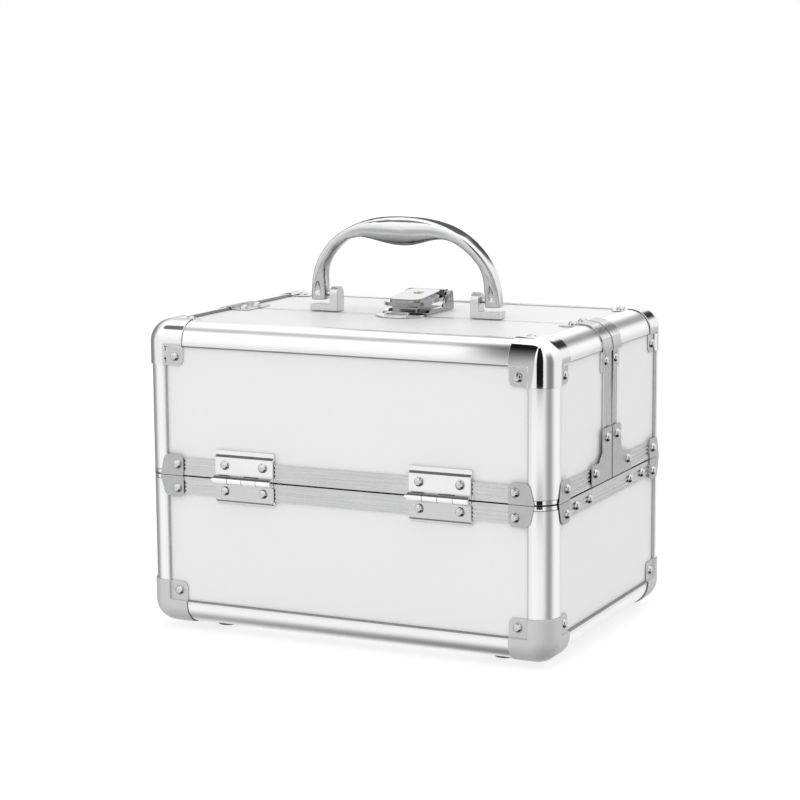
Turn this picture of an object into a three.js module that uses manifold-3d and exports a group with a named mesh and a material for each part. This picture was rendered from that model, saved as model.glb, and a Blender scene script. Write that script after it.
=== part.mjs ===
// A two-lid aluminium medicine case. A tub forms the lower half. Two lids, front and rear, close over it,
// meet in the middle of the top and open outwards on hinges along the long sides.
// Quarter-round rails cover the outer edges, ribbed channels cover every rim, and pressed caps hold
// the corners. Two trays hang on parallel arms from the tub and are drawn out by a link from each lid.
// Millimetres, +Z up, the front is at -Y, and the origin is under the middle of the case, on the surface
// that it stands on.
import * as THREE from 'three';
import { mergeVertices } from 'three/addons/utils/BufferGeometryUtils.js';
import { RoundedBoxGeometry } from 'three/addons/geometries/RoundedBoxGeometry.js';
import Module from 'manifold-3d';

const wasm = await Module();
wasm.setup();

// Driving dimensions: the closed body
const bodyWidth = 300;
const bodyDepth = 212;
const bodyHeight = 210;
const tubHeight = 104;
const seamGap = 1;
const lidGap = 1;
const fit = 0.3;

// Edge rails and boards
const railRadius = 15;
const railWidth = 17;
const railWall = 1.7;
const railSteps = 4;
const boardThickness = 4;
const boardSteps = 2;

// Rim channels: the web lies across the edge of the boards, one leg outside and one inside
const rimWeb = 2.7;
const rimHeight = 12;
const rimLegWall = 1.5;
const rimLiningRound = 2;
const stripDepth = 0.4;
const ribDepth = 0.5;
const ribCount = 3;

// Corner caps, rim plates, gusset plates and straps
const capReach = 30;
const capProud = 1;
const sheet = 0.8;
const tabRound = 4;
const rimPlateWidth = 15;
const rimPlateStart = 14.5;
const rimPlateOverhang = 2;
const rimPlateFlare = 3;
const shankInset = 2;
const plateRound = 2.5;
const gussetLegWidth = 17;
const gussetLegTop = 36;
const gussetFootReach = 37;
const gussetFootHeight = 14;
const gussetSlope = 12;
const strapWidth = 16;
const strapTab = 14;

// Feet under the floor board
const footRadius = 8;
const footTaper = 1;
const footInsetX = 45;
const footInsetY = 30;
const footProud = 3.5;

// Hinges
const hingeOffset = 72.5;
const leafWidth = 44;
const lidLeafHeight = 20;
const lidLeafFlange = 4.5;
const tubLeafHeight = 16.5;
const tubLeafFlange = 2.6;
const leafThickness = 1.5;
const leafStep = 1.5;
const knuckleRadius = 3;
const knuckleCount = 4;
const hingePinRadius = 1.4;
const hingePinHead = 2;

// Trays, the arms that carry them and the links from the lids
const trayFrontGap = 14;
const traySeamGap = 4;
const trayTopGap = 18;
const trayHeight = 36;
const trayWall = 2;
const trayFloor = 2.2;
const trayRimHeight = 2.4;
const traySlope = 1.5;
const trayOuterRound = 8;
const trayInnerRound = 5;
const dividerWall = 1.8;
const dividerDrop = 3;
const trayColumns = 4;
const armThickness = 1.5;
const armWidth = 10;
const armLean = 25;
const armEyeRadius = 2;
const armPivotDrop = 5.2;
const leadPivotSetback = 62.2;
const armPivotSpacing = 23.5;
const armBossRadius = 4;
const trayBossHeight = 1;
const trayPivotRise = 14;
const linkPivotRise = 9;
const linkPivotSetback = 30;
const linkStudAhead = 46.2;
const linkStudDrop = 3;
const linkWidth = 9;
const linkStudRadius = 3;

// Carrying handle and its two brackets. The handle and the latch sit a little left of the middle,
// and the handle leans a little forward.
const topOffset = -5;
const handleHalfSpan = 73;
const handleFootWidth = 11.8;
const handleRise = 61.1;
const archSquareness = 2.2;
const handleLean = 5.5;
const gripHeight = 21.3;
const gripDepth = 17;
const gripEnd = 0.4;
const legWidth = 7.5;
const legDepth = 10.5;
const gripRoundness = 2;
const legRoundness = 4.5;
const footFlareStart = 0.68;
const footFlareEnd = 0.95;
const footDrop = 4;
const bracketDepth = 11;
const bracketBase = 4.9;
const bracketSetback = 0.4;
const earWidth = 6.3;
const earGap = 3.7;
const pivotHeight = 12.2;
const pivotPinRadius = 2;
const handleStations = 32;
const handleSides = 14;

// Key latch: base and lever on the rear lid, catch on the front lid
const lockHalfWidth = 17.5;
const lockLength = 47;
const lockSetback = 2;
const lockPlate = 1.6;
const lockPlateRound = 3;
const lockFlange = 3.2;
const lockEar = 3;
const lockFlangeFront = 4;
const lockFlangeBack = 1;
const lockFlangeRamp = 2;
const stopHalfWidth = 9.8;
const stopHeight = 3.6;
const stopDepth = 5;
const stopSetback = 1;
const stopRound = 1.5;
const latchAxisHeight = 10.5;
const latchAxisSetback = 44;
const latchBarrelRadius = 3.2;
const latchPinRadius = 1.2;
const leverPlate = 2.6;
const leverUnderside = 6.6;
const leverNoseRadius = 17;
const leverNoseReach = 6.6;
const leverNoseTurn = 28;
const leverShoulder = 4;
const housingHalfWidth = 12.5;
const housingFrontHeight = 1.8;
const housingBackHeight = 5.2;
const housingFront = 1;
const housingBack = 41;
const housingRound = 7;
const bridgeLap = 1;
const bridgeBehind = 1.6;
const keyPlugRadius = 3.4;
const keyPlugPlace = 27;
const keyPlugProud = 0.3;
const keySlotWidth = 1.2;
const keySlotLength = 4;
const keySlotDepth = 2;
const catchRadius = 18;
const catchReach = 17;
const catchPlate = 1;
const keeperBack = 5.2;
const keeperDepth = 6;
const keeperHeight = 3;
const keeperHalfWidth = 9;
const keeperRound = 2;

// Places worked out from the sizes above
const halfWidth = bodyWidth / 2;
const halfDepth = bodyDepth / 2;
const bodyBottom = footProud + capProud;
const lidBottom = tubHeight + seamGap;
const seamHeight = tubHeight + seamGap / 2;
const boardDepth = railWall + fit;
const innerDepth = boardDepth + boardThickness;
const liningDepth = innerDepth + fit + rimLegWall;
const hingeStandoff = knuckleRadius + fit;
const hingeAxisY = -(halfDepth + hingeStandoff);

// Colours and finishes
const finishes = {
  boards: { color: 0xe6e6e6, roughness: 0.45, metalness: 0.3 },
  rail: { color: 0xd9dadb, roughness: 0.25, metalness: 1 },
  channel: { color: 0xcfd1d2, roughness: 0.35, metalness: 1 },
  nickel: { color: 0xb9bbbc, roughness: 0.2, metalness: 1 },
  chrome: { color: 0xe8eaec, roughness: 0.08, metalness: 1 },
  zinc: { color: 0xc4c6c8, roughness: 0.3, metalness: 1 },
  brass: { color: 0xc9a24a, roughness: 0.3, metalness: 1 },
  tray: { color: 0x2b2d30, roughness: 0.55, metalness: 0 },
  steel: { color: 0xa9acae, roughness: 0.3, metalness: 1 }
};

// Solids: closed geometry in, a solid that can be joined and cut out
function solidOf(geometry) {
  const bare = geometry.clone();
  bare.deleteAttribute('normal');
  bare.deleteAttribute('uv');
  const merged = mergeVertices(bare, 1e-4);
  const mesh = new wasm.Mesh({
    numProp: 3,
    vertProperties: Float32Array.from(merged.attributes.position.array),
    triVerts: Uint32Array.from(merged.index.array)
  });
  return new wasm.Manifold(mesh);
}

function geometryOf(solid) {
  const mesh = solid.getMesh();
  const geometry = new THREE.BufferGeometry();
  geometry.setAttribute('position', new THREE.BufferAttribute(Float32Array.from(mesh.vertProperties), 3));
  geometry.setIndex(new THREE.BufferAttribute(Uint32Array.from(mesh.triVerts), 1));
  geometry.computeVertexNormals();
  return geometry;
}

function union(solids) {
  return solids.reduce((whole, next) => whole.add(next));
}

function box(x0, x1, y0, y1, z0, z1) {
  const geometry = new THREE.BoxGeometry(Math.abs(x1 - x0), Math.abs(y1 - y0), Math.abs(z1 - z0));
  geometry.translate((x0 + x1) / 2, (y0 + y1) / 2, (z0 + z1) / 2);
  return solidOf(geometry);
}

function prism(points, length) {
  const shape = new THREE.Shape(points.map(([u, v]) => new THREE.Vector2(u, v)));
  return new THREE.ExtrudeGeometry(shape, { depth: length, bevelEnabled: false });
}

// Outline in X and Y, raised from z0 to z1
function prismZ(points, z0, z1) {
  return solidOf(prism(points, z1 - z0).translate(0, 0, z0));
}

// Outline in Y and Z, drawn from x0 to x1
function prismX(points, x0, x1) {
  const turn = new THREE.Matrix4().makeBasis(
    new THREE.Vector3(0, 1, 0), new THREE.Vector3(0, 0, 1), new THREE.Vector3(1, 0, 0));
  return solidOf(prism(points, x1 - x0).applyMatrix4(turn).translate(x0, 0, 0));
}

// Outline in X and Z, drawn from y0 to y1
function prismY(points, y0, y1) {
  return solidOf(prism(points, y1 - y0).rotateX(Math.PI / 2).translate(0, y1, 0));
}

function cylinderX(radius, x0, x1, y, z, sides = 12) {
  const geometry = new THREE.CylinderGeometry(radius, radius, x1 - x0, sides);
  return solidOf(geometry.rotateZ(Math.PI / 2).translate((x0 + x1) / 2, y, z));
}

function cylinderZ(radiusTop, radiusBottom, x, y, z0, z1, sides = 20) {
  const geometry = new THREE.CylinderGeometry(radiusTop, radiusBottom, z1 - z0, sides);
  return solidOf(geometry.rotateX(Math.PI / 2).translate(x, y, (z0 + z1) / 2));
}

function arc(cx, cy, radius, fromDegrees, toDegrees, steps) {
  const points = [];
  for (let i = 0; i <= steps; i += 1) {
    const angle = THREE.MathUtils.degToRad(fromDegrees + (toDegrees - fromDegrees) * i / steps);
    points.push([cx + radius * Math.cos(angle), cy + radius * Math.sin(angle)]);
  }
  return points;
}

function roundedRectangle(u0, u1, v0, v1, radius, steps = railSteps) {
  return [
    ...arc(u1 - radius, v1 - radius, radius, 0, 90, steps),
    ...arc(u0 + radius, v1 - radius, radius, 90, 180, steps),
    ...arc(u0 + radius, v0 + radius, radius, 180, 270, steps),
    ...arc(u1 - radius, v0 + radius, radius, 270, 360, steps)
  ];
}

// The whole closed body as a rounded block, set in by an amount from the outer faces
function bodyBlock(setIn, steps) {
  const geometry = new RoundedBoxGeometry(
    bodyWidth - 2 * setIn, bodyDepth - 2 * setIn, bodyHeight - 2 * setIn, steps, railRadius - setIn);
  return solidOf(geometry.translate(0, 0, bodyHeight / 2));
}

function node(name, solid, finish) {
  const mesh = new THREE.Mesh(geometryOf(solid), new THREE.MeshStandardMaterial(finishes[finish]));
  mesh.name = name;
  return mesh;
}

// Boards: thin laminated boards glued into an open box, with its edges rounded off under the rails.
// The moulded feet are glued to the floor board.
function tubBoards() {
  const top = tubHeight - rimWeb - fit;
  const shell = bodyBlock(boardDepth, boardSteps).subtract(
    box(-halfWidth + innerDepth, halfWidth - innerDepth, -halfDepth + innerDepth, halfDepth - innerDepth,
      innerDepth, bodyHeight));
  const open = shell.intersect(box(-halfWidth, halfWidth, -halfDepth, halfDepth, 0, top));
  const feet = [];
  for (const sx of [-1, 1]) {
    for (const sy of [-1, 1]) {
      feet.push(cylinderZ(footRadius, footRadius - footTaper, sx * (halfWidth - footInsetX),
        sy * (halfDepth - footInsetY), -bodyBottom, innerDepth - fit));
    }
  }
  return union([open, ...feet]);
}

function lidBoards() {
  const back = -(lidGap / 2 + rimWeb + fit);
  const shell = bodyBlock(boardDepth, boardSteps).subtract(
    box(-halfWidth + innerDepth, halfWidth - innerDepth, -halfDepth + innerDepth, halfDepth,
      -bodyHeight, bodyHeight - innerDepth));
  const floor = lidBottom + rimWeb + fit;
  return shell.intersect(box(-halfWidth, halfWidth, -halfDepth, back, floor, bodyHeight));
}

// Rails: a quarter-round skin with a flat lip along each board, held by the corner caps.
// The outline is given by its distances from the two outer faces that meet at the edge.
function railOutline() {
  const inside = railRadius - railWall;
  return [
    [railWidth, 0],
    ...arc(railRadius, railRadius, railRadius, 270, 180, railSteps),
    [0, railWidth],
    [railWall, railWidth],
    ...arc(railRadius, railRadius, inside, 180, 270, railSteps),
    [railWidth, railWall]
  ];
}

function post(sideX, sideY, z0, z1) {
  const points = railOutline().map(([u, v]) => [sideX * (halfWidth - u), sideY * (halfDepth - v)]);
  return prismZ(points, z0, z1);
}

function lidFrontRail() {
  const points = railOutline().map(([u, v]) => [-(halfDepth - u), bodyHeight - v]);
  const end = halfWidth - railWidth - fit;
  return prismX(points, -end, end);
}

function lidSideRail(sideX) {
  const points = railOutline().map(([u, v]) => [sideX * (halfWidth - u), bodyHeight - v]);
  return prismY(points, -(halfDepth - railWidth - fit), -(lidGap / 2 + rimWeb + fit));
}

// The four bottom rails of the tub, mitred into one frame
function tubBaseFrame() {
  const skin = bodyBlock(0, railSteps).subtract(bodyBlock(railWall, railSteps));
  const low = skin.intersect(box(-halfWidth, halfWidth, -halfDepth, halfDepth, 0, railWidth));
  return low.subtract(box(-halfWidth + railWidth, halfWidth - railWidth,
    -halfDepth + railWidth, halfDepth - railWidth, -1, railWidth));
}

// Ribbed strip: section given by its distance below the outer face and its distance from the rim
function stripOutline() {
  const low = rimWeb - fit;
  const pitch = (rimHeight - low) / (2 * ribCount + 1);
  const points = [[railWall, low], [stripDepth, low]];
  for (let i = 0; i < ribCount; i += 1) {
    const start = low + pitch * (2 * i + 1);
    points.push([stripDepth, start], [stripDepth + ribDepth, start],
      [stripDepth + ribDepth, start + pitch], [stripDepth, start + pitch]);
  }
  points.push([stripDepth, rimHeight], [railWall, rimHeight]);
  return points;
}

// A closed rim channel round an opening that spans two widths, its free edge at level 0 and its legs below
function rimChannel(halfU, halfV) {
  const ring = (setOut, radius, z0, z1) => prismZ(
    roundedRectangle(-halfU + setOut, halfU - setOut, -halfV + setOut, halfV - setOut, radius), z0, z1);
  const web = ring(0, railRadius, -rimWeb, 0);
  const innerLeg = ring(innerDepth + fit, rimLiningRound, -rimHeight, -rimWeb + fit);
  const bore = ring(liningDepth, rimLiningRound - fit, -rimHeight - 1, 1);
  const channel = web.add(innerLeg).subtract(bore);
  const strips = [];
  for (const side of [-1, 1]) {
    const endU = halfU - railWidth - fit;
    const endV = halfV - railWidth - fit;
    const alongU = stripOutline().map(([d, h]) => [side * (halfV - d), -h]);
    const alongV = stripOutline().map(([d, h]) => [side * (halfU - d), -h]);
    strips.push(prismX(alongU, -endU, endU), prismY(alongV, -endV, endV));
  }
  return union([channel, ...strips]);
}

// Rim plates: pressed plates over the joint of strip and post, on both faces of a corner
// Each plate flares out at the seam, over the end of the post.
function rimPlates(sideX, sideY, seamEdge, freeEdge) {
  const outer = fit + sheet;
  const into = Math.sign(freeEdge - seamEdge);
  const far = rimPlateStart + rimPlateWidth;
  const rounded = freeEdge - into * plateRound;
  const plate = [
    [rimPlateStart - rimPlateFlare, seamEdge], [rimPlateStart, rounded],
    [rimPlateStart + plateRound, freeEdge], [far - plateRound, freeEdge],
    [far, rounded], [far, seamEdge]
  ];
  const front = plate.map(([u, z]) => [sideX * (halfWidth - u), z]);
  const side = plate.map(([u, z]) => [sideY * (halfDepth - u), z]);
  const faceY = sideY * (halfDepth + outer);
  const seatY = sideY * (halfDepth + fit);
  const faceX = sideX * (halfWidth + outer);
  const seatX = sideX * (halfWidth + fit);
  const shankStart = railWidth + fit;
  const shankEnd = far - shankInset;
  const low = Math.min(seamEdge, freeEdge) + plateRound;
  const high = Math.max(seamEdge, freeEdge) - plateRound;
  return [
    prismY(front, Math.min(faceY, seatY), Math.max(faceY, seatY)),
    prismX(side, Math.min(faceX, seatX), Math.max(faceX, seatX)),
    box(sideX * (halfWidth - shankStart), sideX * (halfWidth - shankEnd),
      seatY, sideY * (halfDepth - stripDepth - ribDepth), low, high),
    box(seatX, sideX * (halfWidth - stripDepth - ribDepth),
      sideY * (halfDepth - shankStart), sideY * (halfDepth - shankEnd), low, high)
  ];
}

function tubRim() {
  const raised = geometryOf(rimChannel(halfWidth, halfDepth)).translate(0, 0, tubHeight);
  const channel = solidOf(raised);
  const plates = [];
  for (const sx of [-1, 1]) {
    for (const sy of [-1, 1]) {
      plates.push(...rimPlates(sx, sy, seamHeight - fit / 2, tubHeight - rimHeight - rimPlateOverhang));
    }
  }
  return union([channel, ...plates]);
}

function lidRim() {
  const turned = geometryOf(rimChannel(halfWidth, halfDepth)).rotateX(Math.PI);
  const channel = solidOf(turned.translate(0, 0, lidBottom));
  const half = channel.intersect(box(-halfWidth, halfWidth, -halfDepth, -lidGap / 2,
    lidBottom, lidBottom + rimHeight));
  const plates = [];
  for (const sx of [-1, 1]) {
    plates.push(...rimPlates(sx, -1, seamHeight + fit / 2, lidBottom + rimHeight + rimPlateOverhang));
  }
  return union([half, ...plates]);
}

// Gusset plate: an L on the side of the lid, its leg on the seam channel and its foot on the rim channel
function gusset(sideX) {
  const near = lidGap / 2 + fit;
  const leg = gussetLegWidth;
  const foot = gussetFootHeight;
  const low = lidBottom + fit;
  const points = [
    [-near, low], [-gussetFootReach, low], [-gussetFootReach, low + foot - plateRound],
    [-gussetFootReach + plateRound, low + foot], [-leg - gussetSlope / 2, low + foot],
    [-leg, low + foot + gussetSlope / 2], [-leg, lidBottom + gussetLegTop - plateRound],
    [-leg + plateRound, lidBottom + gussetLegTop], [-near, lidBottom + gussetLegTop]
  ];
  const seat = sideX * (halfWidth + fit);
  const face = sideX * (halfWidth + fit + sheet);
  const plate = prismX(points, Math.min(seat, face), Math.max(seat, face));
  const shank = box(seat, sideX * (halfWidth - stripDepth - ribDepth), -near - rimWeb,
    -rimHeight + shankInset, lidBottom + rimHeight + shankInset, lidBottom + gussetLegTop - plateRound);
  return plate.add(shank);
}

// Strap: a bent sheet over the end of the side rail, from the side board to the top board
function strap(sideX) {
  const over = -(fit + sheet);
  const under = -fit;
  const low = boardDepth - fit;
  const end = railWidth + fit + strapTab;
  const bend = railWidth + fit;
  const outer = [
    [end, low - sheet], [bend + sheet, low - sheet], [bend + sheet, over],
    ...arc(railRadius, railRadius, railRadius - over, 270, 180, railSteps),
    [over, bend + sheet], [low - sheet, bend + sheet], [low - sheet, end], [low, end], [low, bend],
    [under, bend],
    ...arc(railRadius, railRadius, railRadius - under, 180, 270, railSteps),
    [bend, under], [bend, low], [end, low]
  ];
  const points = outer.map(([u, v]) => [sideX * (halfWidth - u), bodyHeight - v]);
  return prismY(points, -(lidGap / 2 + fit + strapWidth), -(lidGap / 2 + fit));
}

// Seam channel: the arch along the open side of the lid, up one side, across the top and down the other
function lidSeamArch() {
  const archBottom = lidBottom + rimHeight + fit;
  const turned = geometryOf(rimChannel(halfWidth, bodyHeight)).rotateX(-Math.PI / 2);
  const channel = solidOf(turned.translate(0, -lidGap / 2, 0));
  const kept = channel.intersect(box(-halfWidth, halfWidth, -halfDepth, 0, archBottom, bodyHeight));
  const crown = box(-halfWidth + railWidth, halfWidth - railWidth, -lidGap / 2 - rimHeight - 1, 1,
    bodyHeight - boardDepth, bodyHeight + 1);
  return union([kept.subtract(crown), gusset(-1), gusset(1), strap(-1), strap(1)]);
}

// Corner cap: a pressed three-way cap over the ends of the rails. On each face a square tab steps down
// onto the board, where its rivet goes.
function cornerCap(sideX, sideY, sideZ) {
  const faceZ = sideZ > 0 ? bodyHeight : 0;
  const reachX = (d) => sideX * (halfWidth - d);
  const reachY = (d) => sideY * (halfDepth - d);
  const reachZ = (d) => faceZ - sideZ * d;
  const square = [
    [-capReach, -capReach], [capReach, -capReach],
    ...arc(capReach - tabRound, capReach - tabRound, tabRound, 0, 90, 3), [-capReach, capReach]
  ];
  const span = (a, b) => [Math.min(a, b), Math.max(a, b)];
  const clear = -2 * capProud;
  const fromAbove = square.map(([u, v]) => [reachX(u), reachY(v)]);
  const fromSide = square.map(([u, v]) => [reachY(u), reachZ(v)]);
  const fromFront = square.map(([u, v]) => [reachX(u), reachZ(v)]);
  const region = prismZ(fromAbove, ...span(reachZ(clear), reachZ(capReach)))
    .intersect(prismX(fromSide, ...span(reachX(clear), reachX(capReach))))
    .intersect(prismY(fromFront, ...span(reachY(clear), reachY(capReach))));
  const corner = (x0, x1, y0, y1, z0, z1) => box(reachX(x0), reachX(x1), reachY(y0), reachY(y1),
    reachZ(z0), reachZ(z1));
  const step = railWidth + fit;
  const far = capReach + capProud;
  const onBoard = boardDepth - fit;
  const pads = union([
    corner(step, far, step, far, clear, onBoard),
    corner(step, far, clear, onBoard, step, far),
    corner(clear, onBoard, step, far, step, far)
  ]);
  const cut = step + sheet;
  const pockets = union([
    corner(cut, far, cut, far, clear, onBoard - sheet),
    corner(cut, far, clear, onBoard - sheet, cut, far),
    corner(clear, onBoard - sheet, cut, far, cut, far)
  ]);
  const hollow = bodyBlock(-fit, railSteps).subtract(pads);
  return bodyBlock(-capProud, railSteps).intersect(region).subtract(hollow).subtract(pockets);
}

// Hinge leaves: the flange steps down from the ribbed strip onto the board, and the knuckles interlock.
// The tub's leaf holds the pin.
function hingeLeaf(upward, centreX) {
  const seat = -(halfDepth + fit);
  const face = seat - leafThickness;
  const flangeSeat = -(halfDepth - boardDepth + fit);
  const clear = knuckleRadius + fit;
  const level = (rise) => seamHeight + upward * rise;
  const leafHeight = upward > 0 ? lidLeafHeight : tubLeafHeight;
  const stepTop = leafHeight - (upward > 0 ? lidLeafFlange : tubLeafFlange);
  const outline = [
    [seat, clear], [face, clear], [face, stepTop], [flangeSeat - leafThickness, stepTop + leafStep],
    [flangeSeat - leafThickness, leafHeight], [flangeSeat, leafHeight], [flangeSeat, stepTop],
    [seat, stepTop - leafStep]
  ].map(([y, rise]) => [y, level(rise)]);
  const left = centreX - leafWidth / 2;
  const pieces = [prismX(outline, left, left + leafWidth)];
  const pitch = leafWidth / knuckleCount;
  const first = upward > 0 ? 1 : 0;
  for (let i = first; i < knuckleCount; i += 2) {
    const x0 = left + i * pitch + fit / 2;
    const x1 = x0 + pitch - fit;
    pieces.push(cylinderX(knuckleRadius, x0, x1, hingeAxisY, seamHeight));
    pieces.push(box(x0, x1, face, seat, level(0), level(clear + 1)));
  }
  const pinLeft = left - hingePinHead;
  const pinRight = left + leafWidth - fit;
  if (upward > 0) {
    const bore = cylinderX(hingePinRadius + fit, pinLeft, pinRight + fit, hingeAxisY, seamHeight, 8);
    return union(pieces).subtract(bore);
  }
  pieces.push(cylinderX(hingePinRadius, pinLeft, pinRight, hingeAxisY, seamHeight, 8));
  return union(pieces);
}

// Where the tray mechanism's pivots lie, in the front half of the case
const wallInside = halfWidth - liningDepth;
const linkOuter = wallInside - fit;
const linkInner = linkOuter - armThickness;
const armOuter = linkInner - fit;
const armInner = armOuter - armThickness;
const trayHalfLength = armInner - fit - trayBossHeight;
const trayTop = bodyHeight - innerDepth - trayTopGap;
const trayBottom = trayTop - trayHeight;
const trayPivotZ = trayBottom + trayPivotRise;
const armPivotZ = tubHeight - armPivotDrop;
const lean = THREE.MathUtils.degToRad(armLean);
const armPivots = [-leadPivotSetback, -leadPivotSetback + armPivotSpacing];
const trayPivots = armPivots.map((y) => y + (trayPivotZ - armPivotZ) * Math.tan(lean));
const linkPivot = [-linkPivotSetback, lidBottom + linkPivotRise];
const linkStud = [trayPivots[0] - linkStudAhead, trayPivotZ - linkStudDrop];

// A flat bar with round ends between two points in Y and Z
function flatBar(from, to, width, x0, x1) {
  const angle = THREE.MathUtils.radToDeg(Math.atan2(to[1] - from[1], to[0] - from[0]));
  const outline = [
    ...arc(to[0], to[1], width / 2, angle - 90, angle + 90, 6),
    ...arc(from[0], from[1], width / 2, angle + 90, angle + 270, 6)
  ];
  return prismX(outline, Math.min(x0, x1), Math.max(x0, x1));
}

// Tray: one moulding with sloping walls, a thick rim, dividers and a pivot boss for each arm
function tray() {
  const front = -(halfDepth - trayFrontGap);
  const back = -traySeamGap;
  const tub = (setIn, slopeIn, z0, z1, radius) => {
    const outline = roundedRectangle(-trayHalfLength + setIn + slopeIn, trayHalfLength - setIn - slopeIn,
      front + setIn + slopeIn, back - setIn - slopeIn, radius, 4);
    return prismZ(outline, z0, z1);
  };
  const body = tub(0, traySlope, trayBottom, trayTop, trayOuterRound);
  const rim = tub(0, 0, trayTop - trayRimHeight, trayTop, trayOuterRound + traySlope);
  const hollow = tub(trayWall, traySlope, trayBottom + trayFloor, trayTop + 1, trayInnerRound);
  const pieces = [];
  const dividerTop = trayTop - dividerDrop;
  const middle = (front + back) / 2;
  const innerHalf = trayHalfLength - traySlope - trayWall / 2;
  pieces.push(box(-innerHalf, innerHalf, middle - dividerWall / 2, middle + dividerWall / 2,
    trayBottom + trayFloor / 2, dividerTop));
  for (let i = 1; i < trayColumns; i += 1) {
    const x = -innerHalf + 2 * innerHalf * i / trayColumns;
    pieces.push(box(x - dividerWall / 2, x + dividerWall / 2, front + traySlope + trayWall / 2,
      back - traySlope - trayWall / 2, trayBottom + trayFloor / 2, dividerTop));
  }
  for (const side of [-1, 1]) {
    const ends = [side * (trayHalfLength - traySlope - trayWall / 2), side * (armInner - fit)];
    for (const y of trayPivots) {
      pieces.push(cylinderX(armBossRadius, Math.min(...ends), Math.max(...ends), y, trayPivotZ));
    }
    const stud = [ends[0], side * (linkInner - fit)];
    pieces.push(cylinderX(linkStudRadius, Math.min(...stud), Math.max(...stud), linkStud[0], linkStud[1]));
  }
  return union([body.add(rim).subtract(hollow), ...pieces]);
}

// Arm: a steel strip from the tub's rim to the tray, with a spacer boss riveted at its foot
function trayArm(sideX, index) {
  const foot = [armPivots[index], armPivotZ];
  const head = [trayPivots[index], trayPivotZ];
  const bar = flatBar(foot, head, armWidth, sideX * armInner, sideX * armOuter);
  const ends = [sideX * (armOuter - fit), sideX * (wallInside - fit)];
  const boss = cylinderX(armBossRadius, Math.min(...ends), Math.max(...ends), foot[0], foot[1]);
  const eye = [sideX * (armInner - 1), sideX * (armOuter + 1)];
  const hole = cylinderX(armEyeRadius, Math.min(...eye), Math.max(...eye), head[0], head[1], 8);
  return bar.add(boss).subtract(hole);
}

// Link: a steel strip from the lid's rim to the stud on the tray's end
function lidLink(sideX) {
  const bar = flatBar(linkPivot, linkStud, linkWidth, sideX * linkInner, sideX * linkOuter);
  const eye = [sideX * (linkInner - 1), sideX * (linkOuter + 1)];
  const hole = cylinderX(armEyeRadius, Math.min(...eye), Math.max(...eye), linkStud[0], linkStud[1], 8);
  return bar.subtract(hole);
}

// Handle: a cast bow, thick in the palm, thin at the shoulders and widening down to flat feet.
// Its outer line is a squarish arch. Each section stands square to that line and turns from an oval
// in the palm to a rounded square in the legs.
const bracketFloor = bodyHeight - boardDepth + fit;
const pivotY = lidGap / 2 + bracketSetback + bracketDepth / 2;
const pivotZ = bracketFloor + pivotHeight;
const earOuter = handleHalfSpan - handleFootWidth - earGap;
const earInner = earOuter - earWidth;

function handleSection(t) {
  const angle = Math.PI * (1 - t);
  const along = Math.abs(2 * t - 1);
  const power = 2 / archSquareness;
  const across = Math.sign(Math.cos(angle)) * Math.abs(Math.cos(angle)) ** power;
  const up = Math.abs(Math.sin(angle)) ** power;
  const outer = new THREE.Vector2(handleHalfSpan * across, handleRise * up - footDrop);
  const normal = new THREE.Vector2(
    Math.sign(across) * Math.abs(across) ** (archSquareness - 1) / handleHalfSpan,
    up ** (archSquareness - 1) / handleRise).normalize();
  const swell = (1 + Math.cos(Math.PI * Math.min(1, along / gripEnd))) / 2;
  const flare = THREE.MathUtils.smoothstep(along, footFlareStart, footFlareEnd);
  const size = legWidth + (gripHeight - legWidth) * swell + (handleFootWidth - legWidth) * flare;
  const depth = legDepth + (gripDepth - legDepth) * Math.cos(Math.PI / 2 * along) ** 2;
  const roundness = legRoundness + (gripRoundness - legRoundness) * swell;
  return { outer, normal, size, depth, roundness };
}

function handleBar() {
  const squared = (value, roundness) => Math.sign(value) * Math.abs(value) ** (2 / roundness);
  const geometry = new THREE.CylinderGeometry(1, 1, 1, handleSides, handleStations);
  const position = geometry.attributes.position;
  for (let i = 0; i < position.count; i += 1) {
    const t = THREE.MathUtils.clamp(position.getY(i) + 0.5, 0, 1);
    const { outer, normal, size, depth, roundness } = handleSection(t);
    const inward = size / 2 * (1 - squared(position.getX(i), roundness));
    const middle = outer.clone().addScaledVector(normal, -inward);
    position.setXYZ(i, middle.x, depth / 2 * squared(position.getZ(i), roundness), middle.y);
  }
  const pieces = [solidOf(geometry)];
  for (const side of [-1, 1]) {
    const pinEnds = [side * (earOuter - earWidth / 2), side * (handleHalfSpan - handleFootWidth / 2)];
    pieces.push(cylinderX(pivotPinRadius, Math.min(...pinEnds), Math.max(...pinEnds), 0, 0, 10));
  }
  return union(pieces);
}

// Handle bracket: a cast foot under the leg of the handle, with a round-topped ear that takes its pin
function handleBracket(sideX) {
  const y0 = pivotY - bracketDepth / 2;
  const y1 = pivotY + bracketDepth / 2;
  const foot = box(sideX * earInner, sideX * handleHalfSpan, y0, y1,
    bracketFloor, bracketFloor + bracketBase);
  const ear = [[y0, bracketFloor], [y1, bracketFloor], ...arc(pivotY, pivotZ, bracketDepth / 2, 0, 180, 10)];
  const earSpan = [sideX * earInner, sideX * earOuter];
  const upright = prismX(ear, Math.min(...earSpan), Math.max(...earSpan));
  const boreSpan = [sideX * (earOuter + 1), sideX * (earOuter - earWidth / 2 - 1)];
  const bore = cylinderX(pivotPinRadius + fit, Math.min(...boreSpan), Math.max(...boreSpan),
    pivotY, pivotZ, 10);
  return foot.add(upright).subtract(bore);
}

// Key latch on the middle of the seam
const latchFloor = bracketFloor;
const latchAxisY = lidGap / 2 + latchAxisSetback;
const latchAxisZ = latchFloor + latchAxisHeight;
const leverLow = latchFloor + leverUnderside;
const leverHigh = leverLow + leverPlate;

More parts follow.
